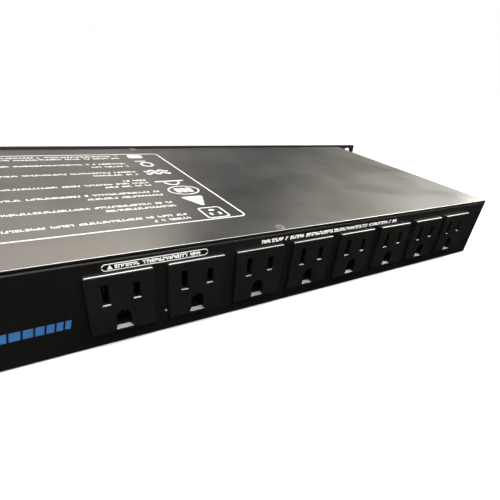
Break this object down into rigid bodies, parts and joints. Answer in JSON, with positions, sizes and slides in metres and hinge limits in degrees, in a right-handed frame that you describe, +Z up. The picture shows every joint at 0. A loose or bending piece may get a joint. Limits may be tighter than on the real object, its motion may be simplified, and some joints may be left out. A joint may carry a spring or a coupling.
{
  "type": "rack power strip",
  "caption": "Rack-width power conditioner in a folded steel case with grounded outlets along the rear, a rocker switch, a resettable breaker and a surge filter board inside.",
  "frame": {"origin": "under the middle of the whole object, on the surface it stands on", "axes": "+X along the rack width, to the right seen from the front; +Y from the front panel to the rear outlets; +Z up"},
  "size_m": [0.4826, 0.1824, 0.044],
  "materials": {
    "powder_coat": "semi-gloss black powder coat on folded steel",
    "front_powder_coat": "semi-gloss black powder coat on flat plate",
    "black_screw": "black oxide",
    "zinc_steel": "bright zinc plate",
    "outlet_nylon": "moulded black nylon",
    "outlet_cap_nylon": "moulded black nylon",
    "inlet_nylon": "moulded black nylon",
    "contact_brass": "stamped brass",
    "nickel_pins": "nickel plate",
    "breaker_phenolic": "moulded phenolic",
    "breaker_button_white": "moulded nylon",
    "switch_nylon": "moulded nylon",
    "rocker_red": "translucent polycarbonate",
    "lamp_glass": "clear glass",
    "lamp_green": "tinted epoxy lens",
    "bezel_black": "moulded nylon",
    "circuit_board": "solder mask on glass epoxy",
    "fibre_sheet": "vulcanised fibre",
    "ferrite": "sintered ferrite",
    "copper_wire": "enamelled copper",
    "capacitor_yellow": "moulded box",
    "varistor_blue": "epoxy dip",
    "sleeve_nylon": "vinyl sleeve",
    "wire_black": "PVC insulation",
    "wire_white": "PVC insulation",
    "wire_green": "PVC insulation"
  },
  "bodies": {
    "case": {"base_tray": "powder_coat", "board_screws": "zinc_steel", "board_standoffs": "zinc_steel", "board_tabs": "contact_brass", "breaker_body": "breaker_phenolic", "breaker_nut": "zinc_steel", "capacitors": "capacitor_yellow", "choke_core": "ferrite", "choke_windings": "copper_wire", "earth_lugs": "contact_brass", "earth_nut": "zinc_steel", "earth_stud": "zinc_steel", "filter_board": "circuit_board", "front_outlet_back": "outlet_cap_nylon", "front_outlet_housing": "outlet_nylon", "front_panel": "front_powder_coat", "front_panel_screws": "black_screw", "ground_bus_wire": "wire_green", "ground_contacts": "contact_brass", "ground_leads": "wire_green", "indicator_bezels": "bezel_black", "indicator_lamps": "lamp_green", "inlet_housing": "inlet_nylon", "inlet_nuts": "zinc_steel", "inlet_pins": "nickel_pins", "inlet_screws": "black_screw", "insulation_sheet": "fibre_sheet", "line_bus_wire": "wire_black", "line_contacts": "contact_brass", "line_leads": "wire_black", "neutral_bus_wire": "wire_white", "neutral_contacts": "contact_brass", "neutral_leads": "wire_white", "rear_outlet_1_back": "outlet_cap_nylon", "rear_outlet_1_housing": "outlet_nylon", "rear_outlet_2_back": "outlet_cap_nylon", "rear_outlet_2_housing": "outlet_nylon", "rear_outlet_3_back": "outlet_cap_nylon", "rear_outlet_3_housing": "outlet_nylon", "rear_outlet_4_back": "outlet_cap_nylon", "rear_outlet_4_housing": "outlet_nylon", "rear_outlet_5_back": "outlet_cap_nylon", "rear_outlet_5_housing": "outlet_nylon", "rear_outlet_6_back": "outlet_cap_nylon", "rear_outlet_6_housing": "outlet_nylon", "rear_outlet_7_back": "outlet_cap_nylon", "rear_outlet_7_housing": "outlet_nylon", "rear_outlet_8_back": "outlet_cap_nylon", "rear_outlet_8_housing": "outlet_nylon", "side_screws": "black_screw", "switch_housing": "switch_nylon", "switch_lamp": "lamp_glass", "switch_terminals": "contact_brass", "tab_sleeves": "sleeve_nylon", "top_cover": "powder_coat", "top_cover_screws": "black_screw", "varistors": "varistor_blue"},
    "rocker": {"power_rocker": "rocker_red"},
    "button": {"breaker_button": "breaker_button_white"}
  },
  "joints": [
    {"name": "rocker_tilt", "type": "hinge", "parent": "case", "child": "rocker", "pos_m": [0.184, -0.08226, 0.022], "axis": [-1, 0, 0], "range_deg": [0, 18]},
    {"name": "breaker_reset", "type": "slide", "parent": "case", "child": "button", "axis": [0, 1, 0], "range_m": [0, 0.003]}
  ]
}
